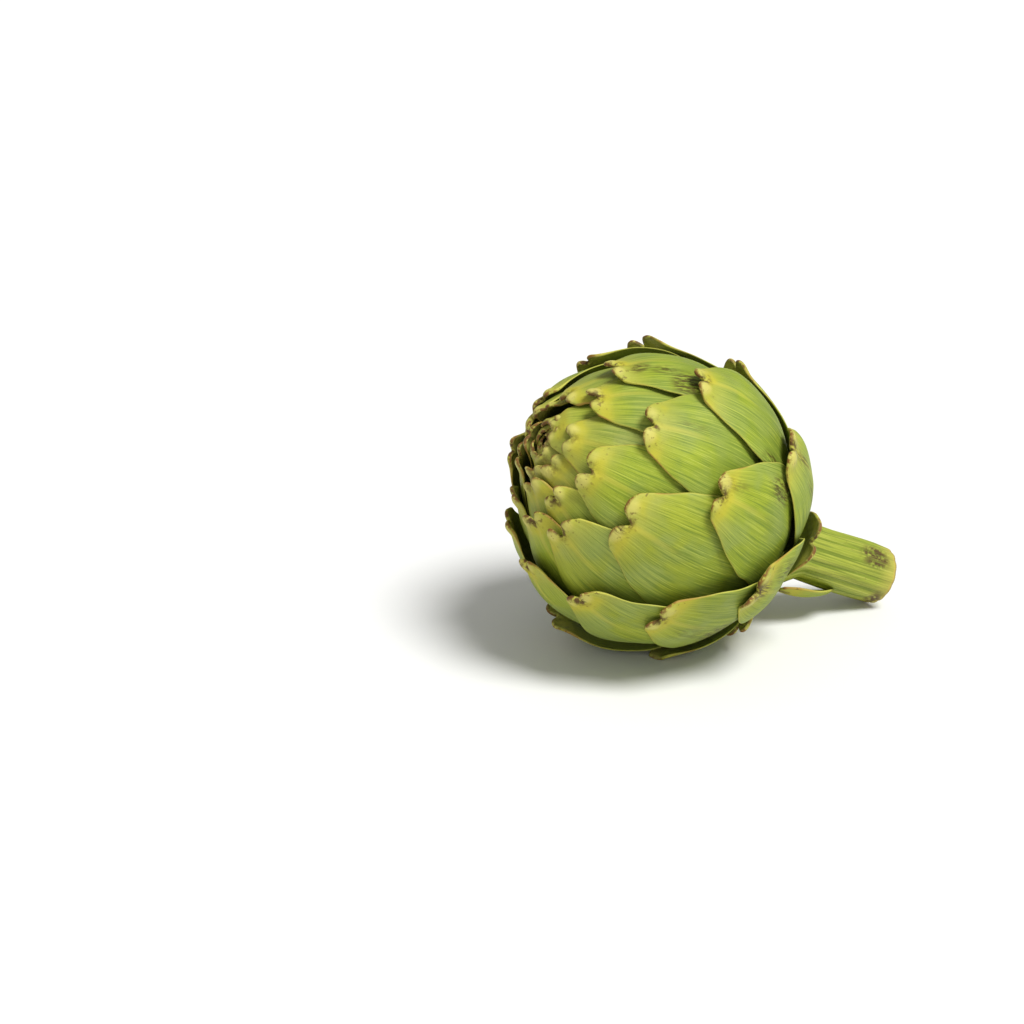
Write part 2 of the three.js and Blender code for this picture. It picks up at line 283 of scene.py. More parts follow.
def layer_at(polar):
    """The bract, as a real number, whose tip reaches a polar angle: the spiral's climb solved for the
    bract."""
    early = (climb(polar) - CLIMB_START) / CLIMB_STEP
    rest = CLIMB_STEP * np.maximum(0, early - CLIMB_GAIN_FROM)
    late = (np.sqrt(CLIMB_STEP ** 2 + 4 * CLIMB_GAIN * rest) - CLIMB_STEP) / (2 * CLIMB_GAIN)
    return np.where(early <= CLIMB_GAIN_FROM, early, CLIMB_GAIN_FROM + late)


def layer_radius(layer, polar, azimuth=math.pi / 2):
    """A sphere, made fuller above and more so underneath by the square of the height, less half a millimetre
    for each bract that lies further out."""
    height = np.sin(polar) * np.cos(azimuth)
    fuller = np.where(height > 0, FULLNESS_TOP, FULLNESS_UNDER) * height ** 2
    return HEAD_RADIUS + fuller - LAYER * (layer_at(polar) - layer)


def bud_radius(bract, polar):
    """A young bract's layer, level above its own tip, and the innermost ones sunk to a dimple."""
    return HEAD_RADIUS - LAYER * np.maximum(0, layer_at(polar) - bract) - BUD_SINK * max(0, -bract)


def tip_of(bract):
    """The tip's polar angle and azimuth: the spiral's, turned by the bract's own offset over the head."""
    down, side = OFF_SPIRAL.get(bract, (0, 0))
    polar = spiral_polar(bract) + down / HEAD_RADIUS
    azimuth = SPIRAL_START - DIVERGENCE * bract + side / (HEAD_RADIUS * math.sin(polar))
    return polar, azimuth


def flank_polar(layer):
    """The polar angle where a layer's bracts end on the receptacle, a step lower for each layer outwards."""
    return FLANK_END - FLANK_STEP * (OUTERMOST - layer)


# ---- meshes ----

def closed_sheet(outer, inner):
    """Points and quads of a blade between two grids that share their four borders, and the grid points that
    it uses: the outer grid's quads turn outwards and the inner one's inwards."""
    rows, columns = outer.shape[:2]
    front = np.arange(rows * columns).reshape(rows, columns)
    back = front + rows * columns
    back[0], back[-1], back[:, 0], back[:, -1] = front[0], front[-1], front[:, 0], front[:, -1]
    quads = np.concatenate([
        np.stack([front[:-1, :-1], front[1:, :-1], front[1:, 1:], front[:-1, 1:]], axis=-1).reshape(-1, 4),
        np.stack([back[:-1, :-1], back[:-1, 1:], back[1:, 1:], back[1:, :-1]], axis=-1).reshape(-1, 4),
    ])
    used, faces = np.unique(quads, return_inverse=True)
    points = np.concatenate([outer.reshape(-1, 3), inner.reshape(-1, 3)])
    return points[used], faces.reshape(-1, 4), used


def on_sheet(used, grid, outside, inside=None):
    """A value for each point of a closed sheet: the outer face's, and the inner one's where they differ."""
    outside = np.broadcast_to(outside, grid).ravel()
    inside = outside if inside is None else np.broadcast_to(inside, grid).ravel()
    return np.concatenate([outside, inside])[used]


def closed_rings(rings, flipped=False):
    """Points and faces of a skin over a grid of rings: a quad between four neighbours, and at either end a
    fan of triangles to the last ring's middle. Flipped turns them for rings that run the other way."""
    sides = rings.shape[1]
    index = np.arange(rings.shape[0] * sides).reshape(rings.shape[:2])
    right = np.roll(index, -1, axis=1)
    quads = np.stack([index[:-1], right[:-1], right[1:], index[1:]], axis=-1).reshape(-1, 4)
    start, end = np.full(sides, index.size), np.full(sides, index.size + 1)
    fans = np.concatenate([np.stack([start, right[0], index[0]], axis=-1),
                           np.stack([end, index[-1], right[-1]], axis=-1)])
    if flipped:
        quads, fans = quads[:, [0, 3, 2, 1]], fans[:, [0, 2, 1]]
    points = np.concatenate([rings.reshape(-1, 3), [rings[0].mean(axis=0)], [rings[-1].mean(axis=0)]])
    return points, quads.tolist() + fans.tolist()


def on_rings(values, shape, ends):
    """A value for each point of closed rings, with the two values at their ends' middles."""
    return np.concatenate([np.broadcast_to(values, shape).ravel(), ends])


def join_sheets(sheets):
    """Puts several sheets, each as points, faces, attributes and fibre map, into one."""
    starts = np.cumsum([0] + [len(sheet[0]) for sheet in sheets[:-1]])
    points = np.concatenate([sheet[0] for sheet in sheets])
    faces = np.concatenate([sheet[1] + start for sheet, start in zip(sheets, starts)])
    attributes = {key: np.concatenate([sheet[2][key] for sheet in sheets]) for key in sheets[0][2]}
    return points, faces, attributes, np.concatenate([sheet[3] for sheet in sheets])


def add_to_scene(name, data):
    """A new object that holds the mesh, light or camera."""
    thing = bpy.data.objects.new(name, data)
    bpy.context.scene.collection.objects.link(thing)
    return thing


def make_piece(name, material, points, faces, attributes=None, fibre_map=None):
    """A smooth mesh object at the origin, from the frame's millimetres, with its attributes and fibre map."""
    mesh = bpy.data.meshes.new(name)
    mesh.from_pydata((points * MM).tolist(), [], faces if isinstance(faces, list) else faces.tolist())
    for key, values in (attributes or {}).items():
        layer = mesh.attributes.new(key, "FLOAT", "POINT")
        layer.data.foreach_set("value", np.ascontiguousarray(values, dtype=np.float32))
    if fibre_map is not None:
        corners = np.empty(len(mesh.loops), dtype=np.int32)
        mesh.loops.foreach_get("vertex_index", corners)
        uv = mesh.uv_layers.new(name="fibres")
        uv.data.foreach_set("uv", np.ascontiguousarray(fibre_map[corners], dtype=np.float32).ravel())
    mesh.polygons.foreach_set("use_smooth", np.ones(len(mesh.polygons), dtype=bool))
    mesh.materials.append(material)
    mesh.validate()
    mesh.update()
    piece = add_to_scene(name, mesh)
    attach(piece, "root")
    return piece


# ---- a bract's surface ----

def tip_line(bract, across, draws):
    """How far below the very tip the edge starts: from the top of each of two lobes it falls off as a cube
    to the corner and as a power of 2.2 to the notch, which is shallower in the young bracts and leans to a
    side, and the whole edge tilts a little."""
    place = np.abs(across + NOTCH_LEAN * draws[2] * (1 - across ** 2)) * 2 - 1
    grown = min(1, max(YOUNG_NOTCH, YOUNG_NOTCH + NOTCH_GROWS * bract))
    depth = np.where(place < 0, grown * NOTCH_DEPTH * (1 + NOTCH_VARIES * draws[1]), CORNER_DEPTH)
    edge = depth * np.abs(place) ** np.where(place < 0, NOTCH_POWER, CORNER_POWER)
    return edge + TIP_TILT * (1 + draws[0] * across)


def half_width(bract, polar, down, half_azimuth, draws):
    """The tip's half width plus a quarter sine of widening, held under the room that its azimuths give by
    the root of the sum of their fourth powers, all inverted."""
    grown = YOUNG_TIP if bract < FIRST_FREE else TIP_HALF_WIDTH + TIP_WIDENS * bract
    tip = WIDE_TIP.get(bract, grown * (1 + TIP_VARIES * draws[2]))
    spread = np.sin(np.minimum(1, down / WIDENING_LENGTH) * math.pi / 2)
    grown = tip + WIDENING * WIDENING_LENGTH * (2 / math.pi) * spread
    room = HEAD_RADIUS * np.sin(polar) * half_azimuth
    return (grown ** -ROOM_POWER + room ** -ROOM_POWER) ** (-1 / ROOM_POWER)


def flare(bract, down, across):
    """Squares that fade over 9 mm for the tip's outward curl and over 20 mm for its lean, plus a half sine
    of belly over 50 mm that is a parabola across in the bulging bracts."""
    curl = np.maximum(0, 1 - down / TIP_FLARE_LENGTH) ** 2
    lean = np.maximum(0, 1 - down / STAND_OFF_LENGTH) ** 2
    belly = np.sin(math.pi * np.minimum(1, down / BELLY_LENGTH))
    bulge = BELLY + BULGE.get(bract, 0) * (1 - across ** 2)
    reach = TIGHT_FLARE if bract in TIGHT_TIPS else TIP_FLARE
    return reach * curl + STAND_OFF.get(bract, 0) * lean + bulge * belly


def margin_lift(bract, down, across):
    """Some bracts' margins have sprung away: a square across to one side times a half sine over 45 mm."""
    lift = SPRUNG_MARGIN.get(bract, 0)
    outwards = np.clip(across * np.sign(lift), 0, 1) ** 2
    return abs(lift) * outwards * np.sin(math.pi * np.clip((down + SPRING_ABOVE) / SPRING_LENGTH, 0, 1))


def lobes(side, down, tip_width, size, draws):
    """A bell for each of the two lobes, one a little higher than the other."""
    total = 0.0
    for hand in (-1, 1):
        height = 1 - hand * LOBES_DIFFER * draws[3]
        near = bell(side - hand * LOBE_PLACE * tip_width, LOBE_WIDTH * tip_width)
        total = total + height * near * bell(down - LOBE_DOWN * size, LOBE_LENGTH * size)
    return total


def relief(side, across, down, tip_width, size, draws):
    """Height over the plain bract: the lobes, less a bell across the notch that fades downwards, plus a
    puffed parabola across that swells and fades in a bell 11 mm down, plus a bell across the midrib that
    starts under the notch, less a keel's slope to both sides, plus three slow waves of 3 to 13 mm a radian."""
    swell = lobes(side, down, tip_width, size, draws)
    crease = bell(side, CREASE_WIDTH * size) * np.exp(-down / (CREASE_LENGTH * size))
    puff = size * PUFF * (1 - across ** 2) * bell(down - PUFF_DOWN * size, PUFF_DOWN * size)
    begun = np.clip((down - MIDRIB_START) / MIDRIB_RISE, 0, 1)
    rib = bell(side - MIDRIB_DRIFT * down * draws[4], MIDRIB_WIDTH) * begun * np.exp(-down / MIDRIB_LENGTH)
    keel = KEEL_SLOPE * (1 - np.sqrt(1 + side ** 2)) * np.exp(-down / KEEL_LENGTH)
    waves = (np.sin(down / 5.1 + 3 * draws[5]) * np.cos(side / 4.3 + 3 * draws[6])
             + np.sin(down / 9.7 + side / 7.9 + 3 * draws[7])
             + 0.5 * np.sin(side / 2.6 + down / 13 + 3 * draws[8]))
    plain = MIDRIB_HEIGHT * rib + keel + WAVE_HEIGHT * waves * np.clip(down / WAVE_START, 0, 1)
    return size * (LOBE_SWELL * swell - NOTCH_CREASE * crease) + puff + plain


def bract_sheet(bract, length, half_azimuth, grid, size=1.0):
    """A bract's blade: rows run from its two-lobed edge to its root, columns across it. Its middle is the
    layer's sphere plus flare, relief and lift, tucked in at the margins, and its two faces lie half a
    thickness to either side, rounded off at every border. Where they would go through the table they are
    pressed up to it."""
    draws = bract_draws(bract)
    tip_polar, tip_azimuth = tip_of(bract)
    rows, columns = grid
    fraction = np.linspace(0, 1, rows)[:, None] ** ROWS_CROWD_TIP
    even = np.linspace(-1, 1, columns)[None, :]
    crowded = (1 - COLUMNS_CROWD_MARGINS) * even + COLUMNS_CROWD_MARGINS * np.sin(even * math.pi / 2)
    across = np.broadcast_to(crowded, grid)
    start = tip_line(bract, across, draws) * size
    down = start + (length - start) * fraction
    raised = TIP_RAISE * size * min(1, max(0, bract / FIRST_FREE))
    polar = tip_polar + (down - raised) / HEAD_RADIUS
    width = half_width(bract, polar, down, half_azimuth, draws)
    wavy = 0.012 * np.sin(down / 3.7 + 3 * draws[9]) + 0.01 * np.sin(down / 1.9 + 3 * draws[10])
    width = width * (1 + wavy)
    side = across * width
    azimuth = tip_azimuth + side / (HEAD_RADIUS * np.sin(polar))
    tip_width = width[0].mean()
    margin = (1 - np.abs(across)) * width

    plain = layer_radius(bract, polar, azimuth) if bract >= FIRST_FREE else bud_radius(bract, polar)
    thinning = np.exp(-margin / THINNING_WIDTH)
    thickness = THICKNESS_MIDDLE - (THICKNESS_MIDDLE - THICKNESS_MARGIN) * thinning
    middle = plain + flare(bract, down, across) - thickness / 2 - MARGIN_TUCK * np.exp(-margin / TUCK_WIDTH)
    middle = middle + relief(side, across, down, tip_width, size, draws) + margin_lift(bract, down, across)
    flesh = LOBE_FLESH * size * bell(down - start, LOBE_FLESH_LENGTH * size)
    borders = rounded(margin, MARGIN_ROUND) * rounded(down - start, TIP_ROUND * size)
    half = (thickness + flesh) / 2 * borders * rounded(length - down, ROOT_ROUND)
    outer = head_points(middle + half, polar, azimuth)
    inner = head_points(middle - half, polar, azimuth)
    press = np.maximum(0, -outer[..., 2])
    outer[..., 2] += press
    inner[..., 2] += np.maximum(0, press - (THICKNESS_MIDDLE - THICKNESS_EDGE))
    points, faces, used = closed_sheet(outer, inner)

    values = {
        "down": down - start * np.exp(-down / 6),
        "side": side,
        "margin": np.minimum(margin, 30),
        "tone": 0.5 + 0.5 * draws[11],
        "scuff": scuffing(bract, side, down),
        # The lobes' bells, which the skin uses for the lobes' pale colour and for a painted highlight on them.
        "lobe": np.minimum(1, lobes(side, down, tip_width, size, draws)),
    }
    attributes = {key: on_sheet(used, grid, value) for key, value in values.items()}
    attributes["inside"] = on_sheet(used, grid, 0.0, 1.0)
    fan = FIBRE_FAN * across * FIBRE_HALF_WIDTH + (1 - FIBRE_FAN) * side
    fibre_map = np.stack([on_sheet(used, grid, fan / MAP_UNIT + MAP_START_ACROSS * (bract % 7)),
                          on_sheet(used, grid, down / MAP_UNIT + MAP_START_DOWN * (bract % 5))], axis=-1)
    return points, faces, attributes, fibre_map


# Rubbed patches of a bract: millimetres down and to the side, length, width, and strength.
SCUFFS = {
    16: [(10, -3, 4, 3, 0.8), (25, -13, 6, 6, 1.0), (18, -6, 6, 3, 0.6)],
    19: [(16, 3, 12, 3, 0.35)],
    22: [(3, -3, 3, 2, 0.6)],
    24: [(34, -19, 6, 4, 0.9), (14, 8, 6, 2, 0.3)],
    26: [(20, 4, 6, 3, 0.7)],
    27: [(30, 12, 8, 5, 0.9), (8, 5, 8, 4, 0.4)],
    29: [(30, 6, 9, 5, 0.8)],
    30: [(34, -6, 8, 8, 0.9), (20, -4, 12, 6, 0.4)],
    32: [(10, 0, 8, 3, 0.6), (24, -4, 12, 3, 0.5)],
    35: [(6, 0, 5, 5, 0.7), (16, 8, 10, 6, 0.5)],
}


def scuffing(bract, side, down):
    """The largest of the bract's rubbed patches at each point, every one a bell in both directions."""
    total = np.zeros_like(down)
    for centre_down, centre_side, length, width, strength in SCUFFS.get(bract, ()):
        patch = strength * bell(down - centre_down, length) * bell(side - centre_side, width)
        total = np.maximum(total, patch)
    return total


# ---- materials ----

SKIN_IOR = 1.42
WAXY = {"Roughness": 0.56, "IOR": SKIN_IOR, "Specular IOR Level": 0.3}


def colour(text):
    """An sRGB hex colour turned to linear."""
    values = np.array([int(text[place:place + 2], 16) for place in (1, 3, 5)]) / 255
    linear = np.where(values <= 0.04045, values / 12.92, ((values + 0.055) / 1.055) ** 2.4)
    return (*linear.tolist(), 1.0)


def add(tree, kind, inputs=None, output=0, **settings):
    """Adds a node with its settings, and returns the output asked for. An input is a value or another node's
    output, which is then linked."""
    node = tree.nodes.new(kind)
    for key, value in settings.items():
        setattr(node, key, value)
    for key, value in (inputs or {}).items():
        if isinstance(value, bpy.types.NodeSocket):
            tree.links.new(value, node.inputs[key])
        else:
            node.inputs[key].default_value = value
    return node.outputs[output] if node.outputs else None


def new_material(name):
    """A material with no nodes yet, and its tree."""
    material = bpy.data.materials.new(name)
    material.use_nodes = True
    material.node_tree.nodes.clear()
    return material, material.node_tree


def patterns(tree, fibres, spots):
    """Noise for a skin. Fibres are given by width and length in millimetres on the fibre map, spots by size
    in millimetres on object coordinates, and both by detail and roughness."""
    fibre_map = add(tree, "ShaderNodeUVMap", output="UV", uv_map="fibres")
    place = add(tree, "ShaderNodeTexCoord", output="Object")
    found = []
    for wide, long, detail, rough in fibres:
        drawn_out = add(tree, "ShaderNodeMapping", {
            "Vector": fibre_map, "Scale": (MAP_UNIT / wide, MAP_UNIT / long, 1)})
        found.append(add(tree, "ShaderNodeTexNoise", {
            "Vector": drawn_out, "Scale": 1.0, "Detail": detail, "Roughness": rough}))
    for size, detail, rough in spots:
        found.append(add(tree, "ShaderNodeTexNoise", {
            "Vector": place, "Scale": 1 / (size * MM), "Detail": detail, "Roughness": rough}))
    return found


def paint(tree, skin, coats):
    """Lays coats over a skin in turn, each a colour or another skin, its strength and its steps. It covers
    by its strength times its steps. A step rises smoothly, from nought to one unless it says otherwise,
    while its measure goes from one level to another, and a measure without levels counts as it is."""
    for over, strength, *steps in coats:
        amount = strength
        for step, *levels in steps:
            if levels:
                ends = dict(enumerate(levels, 1))
                step = add(tree, "ShaderNodeMapRange", {0: step, **ends}, interpolation_type="SMOOTHSTEP")
            amount = add(tree, "ShaderNodeMath", {0: amount, 1: step}, operation="MULTIPLY")
        over = colour(over) if isinstance(over, str) else over
        skin = add(tree, "ShaderNodeMix", {0: amount, 6: skin, 7: over}, output=2, data_type="RGBA")
    return skin


def finish_skin(tree, skin, height, strength, depth, surface):
    """Ends a material: a bump of some strength and depth in metres, and the shader's own constant values."""
    bump = add(tree, "ShaderNodeBump", {"Height": height, "Strength": strength, "Distance": depth})
    shader = add(tree, "ShaderNodeBsdfPrincipled", {"Base Color": skin, "Normal": bump, **surface})
    add(tree, "ShaderNodeOutputMaterial", {"Surface": shader})


def bract_material(name, deep, bright, bloom, tip, spotting):
    """Living bract skin, grown waxy and finely ribbed. It gives the eye a soft broad sheen over long fibres
    that fan out from the notch, yellow on the margins and midrib, pale cream on the lobes that is partly
    their own colour and partly a painted highlight, a grey bloom in patches, and rust
    and dark rubs where the soft skin was bruised."""
    material, tree = new_material(name)
    down, side, margin, inside, tone, scuff, lobe = (
        add(tree, "ShaderNodeAttribute", output="Fac", attribute_name=key)
        for key in ("down", "side", "margin", "inside", "tone", "scuff", "lobe"))
    # Fibre bundles 0.5 mm apart, bands 1.8 mm apart, and rubs of 1 by 5 mm; then patches and mottling.
    fine, bands, rubs, patches, mottle = patterns(
        tree,
        fibres=[(0.5, 20, 4.0, 0.6), (1.8, 40, 2.0, 0.55), (1.0, 5, 4.0, 0.65)],
        spots=[(14, 2.0, 0.55), (1.5, 3.0, 0.55)])
    beside = add(tree, "ShaderNodeMath", {0: side}, operation="ABSOLUTE")
    skin = paint(tree, colour(deep), [
        # The green itself: bands, patches, a bract's own yellowing, its bloom, and the darker shaded part.
        (bright, 1.0, (bands, 0.3, 0.7, 0.15, 0.85)),
        (bright, 0.5, (patches, 0.45, 0.65)),
        ("#a9a23c", 0.3, (tone, 0.55, 1.0)),
        (bloom, 1.0, (patches, 0.62, 0.38), (tone, 0.0, 1.0, 0.35, 0.85)),
        (deep, 0.5, (down, 14.0, 40.0)),
        # Dark furrows and pale ridges of the fibres.
        ("#5d7422", 0.7, (fine, 0.5, 0.36)),
        ("#b4bc4e", 0.5, (fine, 0.53, 0.66)),
        # Yellow towards the tip, on the midrib, under the lobes and along the margin; pale cream on the lobes,
        # partly their own colour and partly a painted highlight.
        (tip, 0.6, (down, 15.0, 2.0)),
        ("#b8b044", 0.5, (beside, 1.5, 0.2), (down, 30.0, 6.0)),
        ("#b5ab2e", 0.6, (down, 9.0, 5.5), (down, 2.0, 4.0), (patches, 0.4, 0.6)),
        # Partly a painted highlight: the cream on each lobe also stands for light caught on its swell.
        ("#c6bd66", 0.7, (lobe, 0.3, 1.0)),
        ("#c4be52", 0.6, (margin, 0.7, 0.1)),
        # Rust on the lobes' rims, along the margins near the tip, in the notch and in spots on the lobes.
        ("#6f3e1a", 0.9, (down, 1.7, 0.3), (mottle, 0.36, 0.52)),
        ("#93602f", 0.7, (margin, 0.8, 0.1), (down, 18.0, 6.0), (patches, 0.42, 0.6)),
        ("#4a3014", 0.9 * spotting, (beside, 3.2, 0.8), (down, 6.0, 2.6), (mottle, 0.38, 0.58)),
        ("#553a1a", 0.7 * spotting, (mottle, 0.6, 0.68), (down, 9.0, 2.0)),
        # Dark rubs in the rubbed patches, scattered stains, and the duller inner face.
        ("#41300f", 0.85, (scuff, 0.1, 0.7), (rubs, 0.42, 0.56)),
        ("#5a4a1c", 0.6, (rubs, 0.64, 0.74), (patches, 0.5, 0.62)),
        ("#8a8f4a", 0.45, (inside,)),
    ])
    height = add(tree, "ShaderNodeMath", {0: fine, 1: 0.5, 2: mottle}, operation="MULTIPLY_ADD")
    finish_skin(tree, skin, height, 0.35, 0.0004, WAXY)
    return material


def stem_material():
    """Green stem skin, grown in long ribs and cut across with a knife. It gives the eye pale ridges and dark
    grooves with a dull sheen, brown bruises by the cut, and pale matt pith that has browned at its rim."""
    material, tree = new_material("artichoke_stem_skin")
    ridge, along, cut, scuff, reach = (
        add(tree, "ShaderNodeAttribute", output="Fac", attribute_name=key)
        for key in ("ridge", "along", "cut", "scuff", "reach"))
    # Fibre bundles 0.6 mm apart and bands 2.2 mm apart; then patches and mottling.
    fine, bands, patches, mottle = patterns(
        tree,
        fibres=[(0.6, 25, 3.0, 0.5), (2.2, 60, 2.0, 0.5)],
        spots=[(9, 2.0, 0.5), (1.6, 3.0, 0.5)])
    skin = paint(tree, colour("#6d7d1c"), [
        # Ridges over grooves, bands, and the fibres' furrows and ridges.
        ("#969d34", 1.0, (ridge, 0.1, 0.8)),
        ("#8c9a2e", 0.6, (bands, 0.6, 0.4)),
        ("#55661a", 0.55, (fine, 0.5, 0.36)),
        ("#b6b854", 0.5, (fine, 0.53, 0.66)),
        # Yellowing over the last 8 mm and a dry rim, then bruises and scattered specks.
        ("#b3a84c", 0.55, (along, 8.0, 0.5)),
        ("#b9a04a", 0.8, (along, 1.4, 0.2)),
        ("#4c3716", 1.0, (scuff, 0.1, 0.7), (mottle, 0.34, 0.52), (fine, 0.3, 0.5)),
        ("#5b4a22", 0.5, (mottle, 0.64, 0.72), (patches, 0.45, 0.6)),
    ])
    pith = paint(tree, colour("#c8c98a"), [
        # Greener towards the ring of bundles, faintly mottled, and browned at the rim.
        ("#a9ad62", 1.0, (reach, 0.55, 0.9)),
        ("#9c9a56", 0.35, (mottle, 0.45, 0.7)),
        ("#5a3c1a", 0.8, (reach, 0.93, 1.0)),
    ])
    height = add(tree, "ShaderNodeMath", {0: fine, 1: 0.6, 2: mottle}, operation="MULTIPLY_ADD")
    finish_skin(tree, paint(tree, skin, [(pith, 1.0, (cut,))]), height, 0.4, 0.0005,
                {"Roughness": 0.5, "IOR": SKIN_IOR})
    return material


def heart_painted_shade_material():
    """The skins of the closed bracts inside, painted in shade: matt, near-black green for the shade that falls
    deep between the outer bracts, mottled every 3 mm."""
    material, tree = new_material("artichoke_heart_painted_shade")
    place = add(tree, "ShaderNodeTexCoord", output="Object")
    mottle = add(tree, "ShaderNodeTexNoise", {"Vector": place, "Scale": 1 / (3 * MM), "Detail": 3.0})
    # Painted shade: these very dark greens stand for the deep shade inside the bud, not for the heart's own
    # colour.
    skin = paint(tree, colour("#1f230d"), [("#31361a", 1.0, (mottle, 0.35, 0.65))])
    finish_skin(tree, skin, mottle, 0.4, 0.0005, {"Roughness": 0.7, "IOR": SKIN_IOR})
    return material


# ---- pieces ----

def make_free_bracts(skin):
    """One piece for each bract that is free of the bud, long enough to end in the receptacle."""
    for bract in range(FIRST_FREE, OUTERMOST + 1):
        tip_polar = tip_of(bract)[0]
        length = (flank_polar(bract) - tip_polar) * HEAD_RADIUS + ROOT_INTO_RECEPTACLE
        sheet = bract_sheet(bract, length, FREE_HALF_AZIMUTH, BRACT_GRID)
        piece = make_piece(f"bract_skin_{bract:02d}", skin, *sheet)
        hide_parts(f"bract_{bract:02d}")


def make_bud_bracts(skin):
    """The young bracts of the closed bud, in one piece: the further in, the shorter and the smaller."""
    sheets = []
    for bract in range(INNERMOST, FIRST_FREE):
        tip_polar = tip_of(bract)[0]
        length = min(BUD_LENGTH, BUD_SHORTEST + BUD_LENGTHENS * (bract - INNERMOST))
        size = min(1, BUD_SMALLEST + math.sin(tip_polar) * BUD_GROWS)
        sheets.append(bract_sheet(bract, length, BUD_HALF_AZIMUTH, BUD_GRID, size))
    bracts = make_piece("bud_bracts", skin, *join_sheets(sheets))


def make_bud_core(skin):
    """The closed heart under the bud's bracts: rings from the tip down, whose radius stays under the
    innermost bract's layer by two thicknesses, and everywhere at least 6 mm under the head's."""
    rings, sides = CORE_GRID
    polar = np.linspace(CORE_TIP, CORE_END, rings)[:, None]
    azimuth = np.linspace(0, 2 * math.pi, sides, endpoint=False)[None, :]
    under = LAYER * (layer_at(polar) - INNERMOST) + 2 * THICKNESS_MIDDLE
    radius = HEAD_RADIUS - np.maximum(CORE_DEPTH, under)
    core = make_piece("bud_core", skin, *closed_rings(head_points(radius, polar, azimuth), flipped=True))
    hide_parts("inner_bud")


def around_stem(centre, axis, angle, radius):
    """Points at an angle from the top round each centre, square to its axis."""
    top = np.array([0, 0, 1]) - axis[..., 2:] * axis
    top = top / np.linalg.norm(top, axis=-1, keepdims=True)
    side = np.cross(axis, top)
    out = top * np.cos(angle)[..., None] + side * np.sin(angle)[..., None]
    return centre + out * radius[..., None] + HEAD_CENTRE


def turned(angle, start):
    """The way round from one angle to another, at most half a turn either way."""
    return np.angle(np.exp(1j * (angle - start)))


def stem_path():
    """Centres, axes, radii and how ribbed each ring is: down the receptacle's flank along the bud's axis,
    round a cubic curve to the straight stem, and along it to the cut."""
    layers = np.linspace(RECEPTACLE_LAYER, OUTERMOST, FLANK_RINGS)
    polar = flank_polar(layers)
    radius = layer_radius(layers, polar)
    away = -BUD_TIP
    centres = [(radius * np.cos(polar))[:, None] * BUD_TIP]
    axes = [np.repeat(away[None], FLANK_RINGS, axis=0)]
    radii = [radius * np.sin(polar)]
    ribs = [np.zeros(FLANK_RINGS)]

    straight = unit(STEM_END - STEM_BEND_END)
    neck = centres[0][-1]
    controls = [neck, neck + NECK_PULL * away, STEM_BEND_END - BEND_PULL * straight, STEM_BEND_END]
    part = np.linspace(0, 1, BEND_RINGS)[1:, None]
    weights = [(1 - part) ** 3, 3 * part * (1 - part) ** 2, 3 * part ** 2 * (1 - part), part ** 3]
    centres.append(sum(weight * point for weight, point in zip(weights, controls)))
    slopes = [3 * (1 - part) ** 2, 6 * part * (1 - part), 3 * part ** 2]
    tangent = sum(slope * (b - a) for slope, a, b in zip(slopes, controls[:-1], controls[1:]))
    axes.append(tangent / np.linalg.norm(tangent, axis=1, keepdims=True))
    radii.append(radii[0][-1] + (STEM_RADIUS - radii[0][-1]) * part[:, 0])
    ribs.append(part[:, 0])

    run = np.linspace(0, 1, STRAIGHT_RINGS)[1:, None]
    centres.append(STEM_BEND_END + run * (STEM_END - STEM_BEND_END))
    axes.append(np.repeat(straight[None], len(run), axis=0))
    radii.append(np.full(len(run), STEM_RADIUS))
    ribs.append(np.ones(len(run)))
    return [np.concatenate(values) for values in (centres, axes, radii, ribs)]


